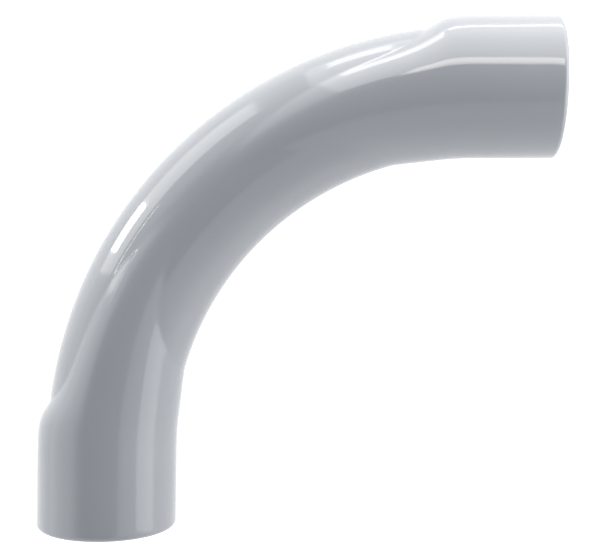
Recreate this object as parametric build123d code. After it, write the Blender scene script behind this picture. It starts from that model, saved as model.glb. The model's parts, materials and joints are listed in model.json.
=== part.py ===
"""One-piece grey PVC conduit bend: a quarter turn of round tube with a plain socket at each end.

The bend lies flat, so its plane is level: one socket opens towards -Y and the other towards +X.
Between the sockets the skin is the outer envelope of two shapes carried along the centre line.
One is the round tube. The other is a side band that leaves each socket at the socket's full size,
drops away from the outside of the bend at a shoulder, draws in more slowly from the inside of the
bend, and sinks into the tube at mid-bend. The bore is a plain round tube with a conduit stop at
the bottom of each socket. Half of the bend is modelled, then mirrored.

Millimetres, +Z up. The origin is under the middle of the part, on the surface that it lies on.
"""
from build123d import *
import os
from math import atan2, cos, degrees, exp, log, pi, sin, sqrt

# Sockets
conduit_diameter = 25.0
socket_clearance = 0.1      # radial room round the conduit
socket_wall = 1.9
socket_depth = 20.4         # mouth to conduit stop
socket_straight = 16.4      # mouth to the start of the bend
mouth_round = 1.2           # outer edge of the mouth
mouth_lead_in = 0.5         # bevel that guides the conduit in

# Bend
bend_radius = 75.0          # centre line of the tube
bend_bore_diameter = 22.5
bend_wall = 1.9
socket_offset = 0.6         # the socket axes lie this far outside the tube's centre line

# Side bands: reach from the tube's centre line, and degrees round the bend
band_outer_reach = 10.0     # towards the outside of the bend, past the shoulder
band_inner_reach = 10.2     # towards the inside of the bend, once drawn in
shoulder_setback = 2.2      # conduit stop to the shoulder
shoulder_length = 5.0       # distance in which the shoulder falls to about a third
shoulder_round = 1.0        # a larger distance turns the top of the shoulder over more gently
inner_fade = (3.0, 34.5)    # where the inner edge starts and stops drawing in
side_fade = (8.0, 45.0)     # where the band starts and stops sinking into the tube
valley_softness = 0.25      # the valley is rounded where band and tube are this close in level

# Sampling of the skin
half_section_spans = 20     # outside of the bend to inside, over the top
skin_spans = 24             # socket to mid-bend
span_crowding = 6           # a smaller number crowds the spans more towards the socket
shoulder_lead = 6           # the skin starts at least this many shoulder rounds ahead of the shoulder

# Sizes that follow
socket_bore_radius = conduit_diameter / 2 + socket_clearance
socket_radius = socket_bore_radius + socket_wall
bend_bore_radius = bend_bore_diameter / 2
tube_radius = bend_bore_radius + bend_wall
shoulder_start = socket_depth - socket_straight + shoulder_setback
skin_start = min(shoulder_start - shoulder_lead * shoulder_round, 0.0)
mid_bend = bend_radius * pi / 4
centre_shift = (bend_radius + socket_offset + socket_radius - socket_straight) / 2
bend_centre = Vector(centre_shift, -centre_shift, socket_radius)


def ramp(x, start, end):
    """Step from 0 at start to 1 at end, level at both."""
    t = min(max((x - start) / (end - start), 0.0), 1.0)
    return t * t * (3 - 2 * t)


def station(s):
    """Plane across the tube's centre line at distance s past the start of the bend.

    Its x points to the outside of the bend, its y up, and its z along the centre line. Before
    the bend, s is negative and runs back along the socket's straight length.
    """
    angle = max(s / bend_radius, 0.0)
    outward = Vector(-cos(angle), sin(angle), 0)
    along = Vector(sin(angle), cos(angle), 0)
    return Plane(bend_centre + outward * bend_radius + along * min(s, 0.0), outward, along)


def band(s):
    """Section of the side band at distance s past the start of the bend.

    Two half-ellipses of one height share a ridge. The result is how far the ridge lies outside
    the centre line, the half-widths from the ridge outwards and inwards, and the height.
    """
    angle = degrees(s / bend_radius)
    past_shoulder = shoulder_round * log(1 + exp((s - shoulder_start) / shoulder_round))
    fall = exp(-past_shoulder / shoulder_length)
    outer = band_outer_reach + (socket_radius + socket_offset - band_outer_reach) * fall
    drawn_in = ramp(angle, *inner_fade)
    inner = band_inner_reach + (socket_radius - socket_offset - band_inner_reach) * (1 - drawn_in)
    left_standing = 1 - ramp(angle, *side_fade)
    ridge = socket_offset * left_standing
    height = tube_radius + (socket_radius - tube_radius) * left_standing
    return ridge, outer - ridge, inner + ridge, height


def skin_radius(direction, s):
    """Distance from the centre line to the skin, in a direction measured from the outside.

    The larger of the distances to the band and to the tube. Where the two are close, the valley
    between them is filled to a round.
    """
    ridge, outer_width, inner_width, height = band(s)
    half_width = outer_width if abs(direction) < atan2(height, ridge) else inner_width
    across = cos(direction) / half_width
    up = sin(direction) / height
    shift = ridge / half_width
    square = across**2 + up**2
    to_band = (across * shift + sqrt((across * shift) ** 2 + square * (1 - shift**2))) / square
    filled = max(1 - abs(to_band - tube_radius) / valley_softness, 0.0)
    return max(to_band, tube_radius) + valley_softness * filled**2 / 4


def half_outline(s, side):
    """Half of the skin's outline at s, above the bend's plane for side 1 and below it for -1.

    Both ends stand square to the bend's plane, so the two halves meet smoothly.
    """
    plane = station(s)
    step = side * pi / half_section_spans
    steps = range(half_section_spans + 1)
    points = []
    for i in steps:
        radius = skin_radius(i * step, s)
        points.append(plane.from_local_coords((radius * cos(i * step), radius * sin(i * step), 0)))
    start = plane.y_dir * step * skin_radius(0, s)
    end = plane.y_dir * -step * skin_radius(pi, s)
    return Edge.make_spline(points, tangents=[start, end], parameters=list(map(float, steps)), scale=False)


def socket_outline():
    """Closed outline of the socket where the skin starts, in two halves like the skin's own."""
    plane = station(skin_start)
    outside = plane.from_local_coords((socket_offset + socket_radius, 0, 0))
    inside = plane.from_local_coords((socket_offset - socket_radius, 0, 0))
    halves = []
    for side in (1, -1):
        crest = plane.from_local_coords((socket_offset, side * socket_radius, 0))
        halves.append(Edge.make_three_point_arc(outside, crest, inside))
    return Wire(halves)


def make_skin():
    """Solid inside the skin, from the socket to mid-bend."""
    last = (skin_spans + span_crowding) ** 2 - span_crowding**2
    sections = [socket_outline()]
    for i in range(1, skin_spans + 1):
        share = ((i + span_crowding) ** 2 - span_crowding**2) / last
        s = skin_start + (mid_bend - skin_start) * share
        sections.append(Wire([half_outline(s, 1), half_outline(s, -1)]))
    return Solid.make_loft(sections)


def make_socket(mouth):
    """Straight outside of a socket, up to the skin, with its mouth rounded."""
    socket = extrude(mouth * Circle(socket_radius), socket_straight + skin_start)
    return fillet(socket.edges().group_by(Axis(mouth.origin, mouth.z_dir))[0], mouth_round)


def make_socket_bore(mouth):
    """Bore of a socket down to the conduit stop, bevelled at the mouth."""
    plug = extrude(mouth * Circle(socket_bore_radius), socket_depth)
    rim = mouth * Circle(socket_bore_radius + mouth_lead_in)
    return plug + loft([rim, mouth.offset(mouth_lead_in) * Circle(socket_bore_radius)])


def make_conduit_bend():
    """Half of the outside and one end's bore, both mirrored at mid-bend, and the bend's bore.

    The bend's bore runs on straight through each end, so that it also opens into a socket that
    is shallower than its straight length.
    """
    start = station(-socket_straight)
    mouth = Plane(start.from_local_coords((socket_offset, 0, 0)), start.x_dir, start.z_dir)
    middle = station(mid_bend)
    half = make_skin() + make_socket(mouth)
    body = half + mirror(half, about=middle)
    turn = Axis(bend_centre, (0, 0, -1))
    bore = revolve(station(0) * Circle(bend_bore_radius), turn, 90)
    end_bore = make_socket_bore(mouth) + extrude(start * Circle(bend_bore_radius), socket_straight)
    return body - (bore + end_bore + mirror(end_bore, about=middle))


conduit_bend = make_conduit_bend()
os.makedirs("parts", exist_ok=True)
export_step(conduit_bend, "parts/conduit_bend.step")
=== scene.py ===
"""Looks of a one-piece grey PVC conduit bend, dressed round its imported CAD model.

The bend lies on a pale floor and the camera looks down on it. Its whole surface, outside, mouths
and bore, is one closed sheet, worked out by the CAD model's formulas and from its sizes, with a
finer inner edge on the side band. Sizes are in millimetres and become metres where a mesh, a lamp
or the camera is made.
"""
import json
import logging
from dataclasses import dataclass, field
from enum import Enum
from math import cos, pi, radians, sin, tau
from typing import Any

import bpy
import numpy as np
from mathutils import Matrix, Vector


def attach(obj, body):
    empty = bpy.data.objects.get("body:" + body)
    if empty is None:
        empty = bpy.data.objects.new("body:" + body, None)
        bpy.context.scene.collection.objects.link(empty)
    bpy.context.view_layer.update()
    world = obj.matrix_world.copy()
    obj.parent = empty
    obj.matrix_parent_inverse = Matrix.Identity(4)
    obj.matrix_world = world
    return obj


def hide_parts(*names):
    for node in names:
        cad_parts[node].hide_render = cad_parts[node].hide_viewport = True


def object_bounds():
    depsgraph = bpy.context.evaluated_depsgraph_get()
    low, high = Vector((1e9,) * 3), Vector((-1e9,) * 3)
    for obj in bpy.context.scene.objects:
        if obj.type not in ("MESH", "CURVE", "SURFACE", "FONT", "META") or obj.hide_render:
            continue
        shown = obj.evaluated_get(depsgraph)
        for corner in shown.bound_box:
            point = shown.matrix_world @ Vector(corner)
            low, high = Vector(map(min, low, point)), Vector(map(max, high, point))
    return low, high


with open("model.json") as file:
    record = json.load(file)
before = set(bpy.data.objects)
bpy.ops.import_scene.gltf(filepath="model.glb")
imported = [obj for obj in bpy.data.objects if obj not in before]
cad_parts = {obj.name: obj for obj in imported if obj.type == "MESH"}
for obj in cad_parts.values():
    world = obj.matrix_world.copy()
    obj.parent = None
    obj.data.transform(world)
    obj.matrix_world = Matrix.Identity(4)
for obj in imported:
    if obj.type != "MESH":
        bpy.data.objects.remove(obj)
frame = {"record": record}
cad_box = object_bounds()

NODE = "conduit_bend"
BODY = "root"
MM = 0.001
STRAIGHTENED = "straightened"
PANEL_TINT = "#fffbf5"

log = logging.getLogger("conduit_bend")


def linear(colour: str) -> tuple[float, float, float, float]:
    """Turns an sRGB hex colour into linear light.

    Args:
        colour: six hex digits after a hash sign.

    Returns:
        Red, green, blue and an alpha of 1.
    """
    channels = np.array([int(colour[i : i + 2], 16) for i in (1, 3, 5)]) / 255
    light = np.where(channels <= 0.04045, channels / 12.92, ((channels + 0.055) / 1.055) ** 2.4)
    return (*light.tolist(), 1.0)


def add_node(
    tree: bpy.types.NodeTree, kind: str, inputs: dict[str | int, Any] | None = None, **settings: Any
) -> bpy.types.Node:
    """Adds a node with its settings and links.

    Args:
        tree: node tree that gets the node.
        kind: Blender's name for the node's type.
        inputs: for each input, by name or number, a constant or the socket that feeds it.
        settings: properties of the node.

    Returns:
        The new node.
    """
    node = tree.nodes.new(kind)
    for name, value in settings.items():
        setattr(node, name, value)
    for name, value in (inputs or {}).items():
        if isinstance(value, bpy.types.NodeSocket):
            tree.links.new(value, node.inputs[name])
        else:
            node.inputs[name].default_value = value
    return node


def new_material(name: str) -> tuple[bpy.types.Material, bpy.types.NodeTree]:
    """Makes an empty node material.

    Args:
        name: name of the material.

    Returns:
        The material and its node tree.
    """
    material = bpy.data.materials.new(name)
    material.use_nodes = True
    material.node_tree.nodes.clear()
    return material, material.node_tree


def ramp(x: np.ndarray, start: float, end: float) -> np.ndarray:
    """Steps from 0 at start to 1 at end, level at both: 3t^2 - 2t^3 of the share t covered.

    Args:
        x: where to read the step.
        start: where it leaves 0.
        end: where it reaches 1.

    Returns:
        The step at each x.
    """
    t = np.clip((x - start) / (end - start), 0, 1)
    return t * t * (3 - 2 * t)


class Mouth(Enum):
    """The two ends of the bend, by how far round it they are in radians."""

    LOWER = 0.0
    UPPER = pi / 2

    @property
    def inward(self) -> int:
        """Which way along the centre line leads into the socket."""
        return 1 if self is Mouth.LOWER else -1


@dataclass(frozen=True)
class Rows:
    """Rings of points round the bend's centre line, each field an array of rows by columns.

    angle: how far round the arc, in radians
    beyond: how far from there along the tangent, in mm
    out: how far from the centre line, away from the arc's centre, in mm
    up: how far above the plane of the bend, in mm
    """

    angle: np.ndarray
    beyond: np.ndarray
    out: np.ndarray
    up: np.ndarray

    def reversed(self) -> "Rows":
        """The same rings in the other order."""
        return Rows(self.angle[::-1], self.beyond[::-1], self.out[::-1], self.up[::-1])

    @staticmethod
    def joined(parts: list["Rows"]) -> "Rows":
        """All the rings of several parts, in order."""
        names = ("angle", "beyond", "out", "up")
        return Rows(*(np.concatenate([getattr(p, n) for p in parts]) for n in names))


@dataclass(frozen=True)
class GlossyPvc:
    """Rigid grey PVC, injection moulded in a polished tool.

    The skin is glossy, with soft mirror images of the lamps. Faint flow streaks run along the
    bend, handling has left hairline scratches, and the level of the skin wavers by microns.
    The skin grows duller as the cloud, a noise from 0 to 1, rises across dull_cloud.
    """

    shade: str = "#8d9198"
    pale_shade: str = "#93979d"
    ior: float = 1.53
    specular_level: float = 0.7
    roughness: float = 0.07
    dull_roughness: float = 0.13
    cloud_mm: float = 22.0
    dull_cloud: tuple[float, float] = (0.45, 0.75)
    streak_mm: float = 1.4
    streak_run: float = 40.0
    streak_share: float = 0.15
    waver_mm: float = 6.0
    waver_depth_mm: float = 0.004
    scratch_mm: float = 9.0
    scratch_run: float = 14.0
    scratch_level: float = 0.62
    scratch_share: float = 0.0025
    scratch_roughness: float = 0.12

    def material(self) -> bpy.types.Material:
        """Builds the material.

        Returns:
            A material whose patterns ride on the object's place and on the straightened bend.
        """
        material, tree = new_material("glossy_moulded_pvc")
        place = add_node(tree, "ShaderNodeTexCoord").outputs["Object"]
        along = add_node(tree, "ShaderNodeAttribute", attribute_name=STRAIGHTENED).outputs["Vector"]

        cloud = add_node(
            tree, "ShaderNodeTexNoise", {"Vector": place, "Scale": 1 / (self.cloud_mm * MM), "Detail": 3.0}
        ).outputs["Fac"]
        stretched = add_node(
            tree, "ShaderNodeMapping", {"Vector": along, "Scale": (1 / self.streak_run, 1, 1)}
        ).outputs["Vector"]
        streak = add_node(
            tree,
            "ShaderNodeTexNoise",
            {"Vector": stretched, "Scale": 1 / (self.streak_mm * MM), "Detail": 2.0},
        ).outputs["Fac"]
        colour = add_node(
            tree,
            "ShaderNodeMix",
            {"Factor": cloud, 6: linear(self.shade), 7: linear(self.pale_shade)},
            data_type="RGBA",
        ).outputs[2]
        dull = add_node(
            tree,
            "ShaderNodeMapRange",
            {
                "Value": cloud,
                "From Min": self.dull_cloud[0],
                "From Max": self.dull_cloud[1],
                "To Min": self.roughness,
                "To Max": self.dull_roughness,
            },
        ).outputs["Result"]
        dull = self.scratched(tree, along, dull)
        waver = add_node(
            tree, "ShaderNodeTexNoise", {"Vector": place, "Scale": 1 / (self.waver_mm * MM), "Detail": 1.0}
        ).outputs["Fac"]
        level = add_node(
            tree, "ShaderNodeMath", {0: streak, 1: self.streak_share, 2: waver}, operation="MULTIPLY_ADD"
        ).outputs["Value"]
        bump = add_node(
            tree,
            "ShaderNodeBump",
            {"Height": level, "Distance": self.waver_depth_mm * MM, "Strength": 1.0},
        ).outputs["Normal"]
        shader = add_node(
            tree,
            "ShaderNodeBsdfPrincipled",
            {
                "Base Color": colour,
                "Roughness": dull,
                "IOR": self.ior,
                "Specular IOR Level": self.specular_level,
                "Normal": bump,
            },
        ).outputs["BSDF"]
        add_node(tree, "ShaderNodeOutputMaterial", {"Surface": shader})
        return material

    def scratched(
        self, tree: bpy.types.NodeTree, along: bpy.types.NodeSocket, dull: bpy.types.NodeSocket
    ) -> bpy.types.NodeSocket:
        """Dulls the gloss along hairline scratches, which are level lines of a stretched noise.

        Args:
            tree: node tree that the nodes go into.
            along: place on the straightened bend.
            dull: roughness of the skin without scratches.

        Returns:
            A socket with the roughness.
        """
        drawn = add_node(
            tree, "ShaderNodeMapping", {"Vector": along, "Scale": (1 / self.scratch_run, 1, 1)}
        ).outputs["Vector"]
        noise = add_node(
            tree, "ShaderNodeTexNoise", {"Vector": drawn, "Scale": 1 / (self.scratch_mm * MM), "Detail": 0.0}
        ).outputs["Fac"]
        line = add_node(
            tree,
            "ShaderNodeMath",
            {0: noise, 1: self.scratch_level, 2: self.scratch_share},
            operation="COMPARE",
        ).outputs["Value"]
        return add_node(
            tree, "ShaderNodeMath", {0: line, 1: self.scratch_roughness, 2: dull}, operation="MULTIPLY_ADD"
        ).outputs["Value"]


@dataclass
class ConduitBend:
    """The bend: a quarter turn of tube, a socket at each end, and a side band between them.

    The sizes are those of the CAD model, apart from the inner edge of the band: band_inner_reach,
    inner_fade and valley_softness draw it in later and further, with a sharper crease. That moves
    the skin by less than 0.4 mm. The socket's bore and radius and the arc's centre are read from
    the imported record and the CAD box. shoulder_stretch is the part of the half bend, in mm, that
    has the closest rings, and skin_rings counts the rings before it, in it and after it.
    """

    socket_bore_radius: float = frame["record"]["mounts"][0]["dims"]["r_mm"]
    socket_radius: float = (cad_box[1].z - cad_box[0].z) / 2 / MM
    socket_depth: float = 20.4
    socket_straight: float = 16.4
    socket_offset: float = 0.6
    mouth_round: float = 1.2
    mouth_lead_in: float = 0.5
    bend_radius: float = 75.0
    bend_bore_radius: float = 11.25
    tube_radius: float = 13.15
    band_outer_reach: float = 10.0
    band_inner_reach: float = 9.1
    shoulder_setback: float = 2.2
    shoulder_length: float = 5.0
    shoulder_round: float = 1.0
    inner_fade: tuple[float, float] = (6.5, 43.0)
    side_fade: tuple[float, float] = (8.0, 45.0)
    valley_softness: float = 0.1
    columns: int = 240
    shoulder_stretch: tuple[float, float] = (3.0, 33.0)
    skin_rings: tuple[int, int, int] = (14, 100, 45)
    rim_rings: int = 10
    socket_rings: int = 8
    bore_rings: int = 56
    sharp_angle: float = 35.0
    finish: GlossyPvc = field(default_factory=GlossyPvc)

    @property
    def length(self) -> float:
        """Length of the bend's centre line, in mm."""
        return self.bend_radius * pi / 2

    @property
    def around(self) -> np.ndarray:
        """Directions of the columns, in radians from the outside of the bend over the top."""
        return np.linspace(0, tau, self.columns, endpoint=False)

    @property
    def centre(self) -> np.ndarray:
        """Centre of the arc in mm: a socket's straight length behind each mouth, and half as high."""
        low, high = np.array(cad_box) / MM
        straight = self.socket_straight
        return np.array([high[0] - straight, low[1] + straight, low[2] + self.socket_radius])

    def band(self, s: np.ndarray) -> tuple[np.ndarray, np.ndarray, np.ndarray, np.ndarray]:
        """Sizes the side band's section: two half-ellipses of one height that share a ridge.

        The outer reach falls from the socket's by an exponential of the distance past the
        shoulder. That distance starts gently, as the log of 1 plus an exponential. The inner
        reach, the ridge and the height come in by smooth steps of the angle.

        Args:
            s: distance past the nearer end of the arc, in mm.

        Returns:
            How far the ridge lies outside the centre line, the half-widths from the ridge outwards
            and inwards, and the height, all in mm.
        """
        degrees = np.degrees(s / self.bend_radius)
        start = self.socket_depth - self.socket_straight + self.shoulder_setback
        past = self.shoulder_round * np.log1p(np.exp((s - start) / self.shoulder_round))
        fall = np.exp(-past / self.shoulder_length)
        rise = self.socket_radius + self.socket_offset - self.band_outer_reach
        outer = self.band_outer_reach + rise * fall
        rise = self.socket_radius - self.socket_offset - self.band_inner_reach
        inner = self.band_inner_reach + rise * (1 - ramp(degrees, *self.inner_fade))
        left_standing = 1 - ramp(degrees, *self.side_fade)
        ridge = self.socket_offset * left_standing
        height = self.tube_radius + (self.socket_radius - self.tube_radius) * left_standing
        return ridge, outer - ridge, inner + ridge, height

    def skin_radius(self, direction: np.ndarray, s: np.ndarray) -> np.ndarray:
        """Finds how far the skin is from the centre line.

        The larger of the distances to the band and to the tube. Where the two are closer than
        the valley's softness, the valley is filled by a parabola.

        Args:
            direction: radians from the outside of the bend.
            s: distance past the nearer end of the arc, in mm.

        Returns:
            The distance in mm, for each direction and s.
        """
        ridge, outer_width, inner_width, height = self.band(s)
        outside = np.cos(direction) * height > np.abs(np.sin(direction)) * ridge
        half_width = np.where(outside, outer_width, inner_width)
        across = np.cos(direction) / half_width
        up = np.sin(direction) / height
        shift = ridge / half_width
        square = across**2 + up**2
        to_band = (across * shift + np.sqrt((across * shift) ** 2 + square * (1 - shift**2))) / square
        filled = np.maximum(1 - np.abs(to_band - self.tube_radius) / self.valley_softness, 0)
        return np.maximum(to_band, self.tube_radius) + self.valley_softness * filled**2 / 4

    def skin_rows(self) -> Rows:
        """Rings of the skin from mouth to mouth, closest together where the shoulders fall.

        Returns:
            The rings, from the end of the lower mouth's rounding to that of the upper.
        """
        start = self.mouth_round - self.socket_straight
        near, far = self.shoulder_stretch
        before, within, after = self.skin_rings
        half = np.concatenate(
            [
                np.linspace(start, near, before, endpoint=False),
                np.linspace(near, far, within, endpoint=False),
                np.linspace(far, self.length / 2, after),
            ]
        )
        s = np.concatenate([half, self.length - half[-2::-1]])[:, None]
        radius = self.skin_radius(self.around, np.minimum(s, self.length - s))
        angle = np.clip(s / self.bend_radius, 0, pi / 2)
        beyond = s - angle * self.bend_radius
        even = np.ones_like(radius)
        return Rows(angle * even, beyond * even, radius * np.cos(self.around), radius * np.sin(self.around))

    def mouth_rows(self, mouth: Mouth) -> Rows:
        """Rings of a mouth: the rounded rim, its flat, the lead-in, the socket and the stop's edge.

        All are circles about the socket's axis. The rim is a quarter circle that turns from the
        wall into the flat.

        Args:
            mouth: which mouth.

        Returns:
            The rings from the outside in.
        """
        turn = np.linspace(0, pi / 2, self.rim_rings)[1:]
        wall = np.linspace(self.mouth_lead_in, self.socket_depth, self.socket_rings)
        depth = np.concatenate([self.mouth_round * (1 - np.sin(turn)), [0], wall])[:, None]
        rim = self.socket_radius - self.mouth_round * (1 - np.cos(turn))
        bore = np.full_like(wall, self.socket_bore_radius)
        radius = np.concatenate([rim, [self.socket_bore_radius + self.mouth_lead_in], bore])[:, None]
        even = np.ones((len(depth), self.columns))
        return Rows(
            mouth.value * even,
            mouth.inward * (depth - self.socket_straight) * even,
            self.socket_offset + radius * np.cos(self.around),
            radius * np.sin(self.around),
        )

    def bore_rows(self) -> Rows:
        """Rings of the bend's round bore, from the lower stop to the upper.

        The stops are flat, so the first and last rings lie where the bore's torus meets them:
        at the angle whose sine is the stop's height over the distance from the arc's centre.

        Returns:
            The rings.
        """
        out = self.bend_bore_radius * np.cos(self.around)
        stop = np.arcsin((self.socket_depth - self.socket_straight) / (self.bend_radius + out))
        share = np.linspace(0, 1, self.bore_rings)[:, None]
        angle = stop + (pi / 2 - 2 * stop) * share
        even = np.ones_like(angle)
        return Rows(angle, 0 * even, out * even, self.bend_bore_radius * np.sin(self.around) * even)

    def mesh(self) -> bpy.types.Mesh:
        """Joins the rings into one closed sheet: out along the skin and back through the bore.

        Returns:
            The mesh, with each point's place on the straightened bend as an attribute.
        """
        rows = Rows.joined(
            [
                self.skin_rows(),
                self.mouth_rows(Mouth.UPPER),
                self.bore_rows().reversed(),
                self.mouth_rows(Mouth.LOWER).reversed(),
            ]
        )
        reach = self.bend_radius + rows.out
        x = -np.cos(rows.angle) * reach + np.sin(rows.angle) * rows.beyond
        y = np.sin(rows.angle) * reach + np.cos(rows.angle) * rows.beyond
        points = (np.stack([x, y, rows.up], -1) + self.centre) * MM
        along = rows.angle * self.bend_radius + rows.beyond
        straight = np.stack([along, rows.out, rows.up], -1) * MM

        count, columns = rows.out.shape
        row, column = np.meshgrid(np.arange(count), np.arange(columns), indexing="ij")
        next_row, next_column = (row + 1) % count, (column + 1) % columns
        corners = [
            row * columns + column,
            row * columns + next_column,
            next_row * columns + next_column,
            next_row * columns + column,
        ]
        faces = np.stack(corners, -1).reshape(-1, 4)

        mesh = bpy.data.meshes.new("bend_skin")
        mesh.from_pydata(points.reshape(-1, 3), [], faces.tolist())
        place = mesh.attributes.new(STRAIGHTENED, "FLOAT_VECTOR", "POINT")
        place.data.foreach_set("vector", straight.astype(np.float32).ravel())
        mesh.shade_smooth()
        mesh.set_sharp_from_angle(angle=radians(self.sharp_angle))
        return mesh

    def build(self) -> bpy.types.Object:
        """Makes the piece, dresses it and puts it in the CAD node's place.

        Returns:
            The dressed piece.
        """
        piece = bpy.data.objects.new("bend_skin", self.mesh())
        bpy.context.scene.collection.objects.link(piece)
        piece.data.materials.append(self.finish.material())
        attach(piece, BODY)
        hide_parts(NODE)
        return piece


@dataclass
class Softbox:
    """A rectangular lamp, placed by where the bend sees it and turned to face the bend.

    azimuth and elevation are degrees from +X and above the floor, distance and size are mm, and
    radiance is its brightness, where 1 is white. lift and slide are how far it is then raised and
    moved along its own width, towards a greater azimuth, in mm. tint is the colour of its light.
    """

    name: str
    azimuth: float
    elevation: float
    distance: float
    size: tuple[float, float]
    radiance: float
    lift: float = 0.0
    slide: float = 0.0
    tint: str = "#ffffff"

    def build(self) -> bpy.types.Object:
        """Makes the lamp. A flat lamp's power is pi times its radiance times its area.

        Returns:
            The lamp's object.
        """
        lamp = bpy.data.lights.new(self.name, "AREA")
        lamp.shape = "RECTANGLE"
        lamp.size, lamp.size_y = (side * MM for side in self.size)
        lamp.energy = pi * self.radiance * lamp.size * lamp.size_y
        lamp.color = linear(self.tint)[:3]
        holder = bpy.data.objects.new(self.name, lamp)
        azimuth, elevation = radians(self.azimuth), radians(self.elevation)
        flat = cos(elevation)
        away = Vector((flat * cos(azimuth), flat * sin(azimuth), sin(elevation)))
        sideways = Vector((-sin(azimuth), cos(azimuth), 0)) * self.slide
        holder.location = (away * self.distance + sideways + Vector((0, 0, self.lift))) * MM
        holder.rotation_euler = away.to_track_quat("Z", "Y").to_euler()
        holder.visible_camera = False
        bpy.context.scene.collection.objects.link(holder)
        return holder


@dataclass(frozen=True)
class Wall:
    """A pale wall of the room: a broad patch of light, brightest at the wall's foot.

    azimuth is degrees from +X, foot is the brightness there, where 1 is white, and fall is the rise
    in which that falls to about a third, as the sine of an elevation. top is the elevations, in
    degrees, between which the wall gives way to the dark ceiling.
    """

    azimuth: float
    foot: float
    fall: float
    top: tuple[float, float] = (53.0, 59.0)

    def light(
        self, tree: bpy.types.NodeTree, level: bpy.types.NodeSocket, rise: bpy.types.NodeSocket
    ) -> bpy.types.NodeSocket:
        """Brightness of the wall in a direction.

        It is the foot's, times the square of how far the direction faces the wall, times an
        exponential of minus the rise over the fall, and it goes out in a smooth step at the top.
        Below the foot it would go on growing, but the floor hides that.

        Args:
            tree: node tree that the nodes go into.
            level: the direction laid level, of length 1.
            rise: the sine of its elevation.

        Returns:
            A socket with the brightness.
        """
        azimuth = radians(self.azimuth)
        towards = (cos(azimuth), sin(azimuth), 0)
        facing = add_node(
            tree, "ShaderNodeVectorMath", {0: level, 1: towards}, operation="DOT_PRODUCT"
        ).outputs["Value"]
        ahead = add_node(tree, "ShaderNodeMath", {0: facing, 1: 0.0}, operation="MAXIMUM").outputs["Value"]
        square = add_node(tree, "ShaderNodeMath", {0: ahead, 1: ahead}, operation="MULTIPLY").outputs["Value"]
        drop = add_node(
            tree, "ShaderNodeMath", {0: rise, 1: -1 / self.fall}, operation="MULTIPLY"
        ).outputs["Value"]
        left = add_node(tree, "ShaderNodeMath", {0: drop}, operation="EXPONENT").outputs["Value"]
        patch = add_node(tree, "ShaderNodeMath", {0: square, 1: left}, operation="MULTIPLY").outputs["Value"]
        start, end = (sin(radians(edge)) for edge in self.top)
        below = add_node(
            tree,
            "ShaderNodeMapRange",
            {"Value": rise, "From Min": start, "From Max": end, "To Min": self.foot, "To Max": 0.0},
            interpolation_type="SMOOTHSTEP",
        ).outputs["Result"]
        return add_node(tree, "ShaderNodeMath", {0: patch, 1: below}, operation="MULTIPLY").outputs["Value"]


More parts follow.
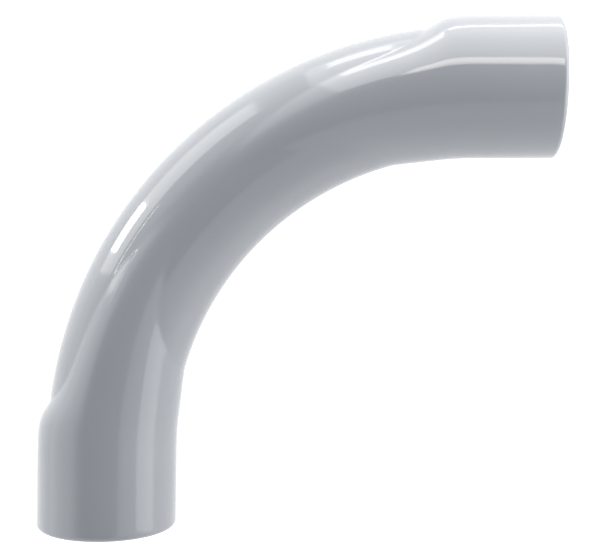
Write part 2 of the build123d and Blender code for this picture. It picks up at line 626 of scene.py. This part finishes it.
@dataclass
class Studio:
    """A pale floor, a pale room with a dark ceiling over the camera, and the lamps.

    floor_width is in mm. floor_glow and room_light are brightnesses, where 1 is white: what the
    backdrop rays see of the floor, and what the walls and the ceiling share.
    """

    floor_width: float = 30000.0
    floor_shade: str = "#d2d2d2"
    floor_glow: float = 1.0
    room_light: float = 0.02
    room_tint: str = "#fcfeff"
    walls: tuple[Wall, ...] = (
        Wall(0.0, 0.45, 1.0),
        Wall(45.0, 1.85, 0.8),
        Wall(135.0, 1.75, 1.2, (40.0, 68.0)),
        Wall(225.0, 2.0, 1.2, (40.0, 66.0)),
        Wall(315.0, 1.2, 0.8),
    )
    lamps: list[Softbox] = field(
        default_factory=lambda: [
            # Name, azimuth, elevation, distance, size, radiance, lift, slide and tint
            Softbox("panel", 80.0, 0.0, 150.0, (188.0, 211.0), 1.62, 105.5, -16.0, PANEL_TINT),
            Softbox("panel_edge", 80.0, 53.0, 254.0, (130.0, 38.0), 3.9, 0.0, -44.0, PANEL_TINT),
            Softbox("floor_strip", 80.0, 0.0, 148.0, (86.0, 3.5), 10.0, 11.0, -33.0, PANEL_TINT),
            Softbox("low_panel", 138.0, 0.0, 300.0, (232.0, 155.0), 2.1, 77.5, 25.0, PANEL_TINT),
            Softbox("low_panel_edge", 138.0, 0.0, 298.0, (95.0, 4.0), 12.0, 187.0, 99.0),
            Softbox("window", 154.0, 0.0, 260.0, (48.0, 72.0), 12.0, 30.0),
            Softbox("back_lamp", 98.5, 0.0, 230.0, (50.0, 44.0), 3.0, 20.0),
            Softbox("right_panel", 5.0, 0.0, 200.0, (300.0, 150.0), 1.1, 75.0),
            Softbox("right_lamp", 20.0, 0.0, 140.0, (120.0, 70.0), 1.0, 45.0),
        ]
    )

    def backdrop_rays(self, tree: bpy.types.NodeTree) -> bpy.types.NodeSocket:
        """Picks the rays that see the floor as plain white: the camera's, and those in gloss and glass.

        Args:
            tree: node tree that the nodes go into.

        Returns:
            A socket that is 1 for those rays and 0 for the others.
        """
        path = add_node(tree, "ShaderNodeLightPath")
        seen = add_node(
            tree,
            "ShaderNodeMath",
            {0: path.outputs["Is Camera Ray"], 1: path.outputs["Is Glossy Ray"]},
            operation="MAXIMUM",
        ).outputs["Value"]
        return add_node(
            tree, "ShaderNodeMath", {0: seen, 1: path.outputs["Is Transmission Ray"]}, operation="MAXIMUM"
        ).outputs["Value"]

    def floor_material(self) -> bpy.types.Material:
        """Pale matt paper. It takes shadows, and a glow that only the backdrop rays see makes it white.

        Returns:
            The material.
        """
        material, tree = new_material("pale_paper")
        paper = add_node(tree, "ShaderNodeBsdfDiffuse", {"Color": linear(self.floor_shade)}).outputs["BSDF"]
        strength = add_node(
            tree, "ShaderNodeMath", {0: self.backdrop_rays(tree), 1: self.floor_glow}, operation="MULTIPLY"
        ).outputs["Value"]
        glow = add_node(tree, "ShaderNodeEmission", {"Strength": strength}).outputs["Emission"]
        both = add_node(tree, "ShaderNodeAddShader", {0: paper, 1: glow}).outputs["Shader"]
        add_node(tree, "ShaderNodeOutputMaterial", {"Surface": both})
        return material

    def floor(self) -> bpy.types.Object:
        """Lays the floor under the bend.

        Returns:
            The floor's object.
        """
        half = self.floor_width / 2 * MM
        corners = np.array([(-1, -1, 0), (1, -1, 0), (1, 1, 0), (-1, 1, 0)]) * half
        mesh = bpy.data.meshes.new("floor")
        mesh.from_pydata(corners, [], [(0, 1, 2, 3)])
        mesh.materials.append(self.floor_material())
        floor = bpy.data.objects.new("floor", mesh)
        bpy.context.scene.collection.objects.link(floor)
        return floor

    def room(self) -> None:
        """Surrounds the bend with a pale room, brightest at the foot of its walls, under a dark ceiling."""
        world = bpy.data.worlds.new("pale_room")
        world.use_nodes = True
        tree = world.node_tree
        tree.nodes.clear()
        direction = add_node(tree, "ShaderNodeTexCoord").outputs["Generated"]
        rise = add_node(tree, "ShaderNodeSeparateXYZ", {"Vector": direction}).outputs["Z"]
        flat = add_node(
            tree, "ShaderNodeVectorMath", {0: direction, 1: (1, 1, 0)}, operation="MULTIPLY"
        ).outputs["Vector"]
        level = add_node(tree, "ShaderNodeVectorMath", {0: flat}, operation="NORMALIZE").outputs["Vector"]
        light: float | bpy.types.NodeSocket = self.room_light
        for wall in self.walls:
            own = wall.light(tree, level, rise)
            light = add_node(tree, "ShaderNodeMath", {0: own, 1: light}, operation="ADD").outputs["Value"]
        glow = add_node(
            tree, "ShaderNodeBackground", {"Color": linear(self.room_tint), "Strength": light}
        ).outputs["Background"]
        add_node(tree, "ShaderNodeOutputWorld", {"Surface": glow})
        bpy.context.scene.world = world

    def build(self) -> None:
        """Lays the floor, closes the room and hangs the lamps."""
        self.floor()
        self.room()
        for lamp in self.lamps:
            lamp.build()
            log.info("lamp %s", lamp.name)


@dataclass
class PhotoCamera:
    """The photograph's viewpoint, above the bend and a little to the side of its middle.

    place and aim are in mm and roll is in degrees. lens is the focal length for a sensor of the
    width of 36 mm film, and nearest is the distance at which the view starts, all in mm.
    """

    place: tuple[float, float, float] = (18.42, 1.38, 219.32)
    aim: tuple[float, float, float] = (1.45, -0.85, 14.5)
    roll: float = 0.71
    lens: float = 59.52
    sensor: float = 36.0
    nearest: float = 10.0

    def build(self) -> bpy.types.Object:
        """Makes the camera and hands it to the scene. Its up side is +Y, then turned by the roll.

        Returns:
            The camera's object.
        """
        data = bpy.data.cameras.new("photo_camera")
        data.lens = self.lens
        data.sensor_width = self.sensor
        data.sensor_fit = "HORIZONTAL"
        data.clip_start = self.nearest * MM
        camera = bpy.data.objects.new("photo_camera", data)
        back = (Vector(self.place) - Vector(self.aim)).normalized()
        right = Vector((0, 1, 0)).cross(back).normalized()
        axes = Matrix((right, back.cross(right), back)).transposed()
        camera.rotation_euler = (axes @ Matrix.Rotation(radians(self.roll), 3, "Z")).to_euler()
        camera.location = Vector(self.place) * MM
        bpy.context.scene.collection.objects.link(camera)
        bpy.context.scene.camera = camera
        return camera


def main() -> None:
    """Builds the bend, the studio and the camera, and reports each piece."""
    logging.basicConfig(level=logging.INFO, format="%(name)s: %(message)s")
    bend = ConduitBend().build()
    log.info("%s: %d faces", bend.name, len(bend.data.polygons))
    Studio().build()
    camera = PhotoCamera().build()
    log.info("%s: %.1f mm lens", camera.name, camera.data.lens)
    bpy.context.scene.view_settings.view_transform = "Standard"


if __name__ == "__main__":
    main()
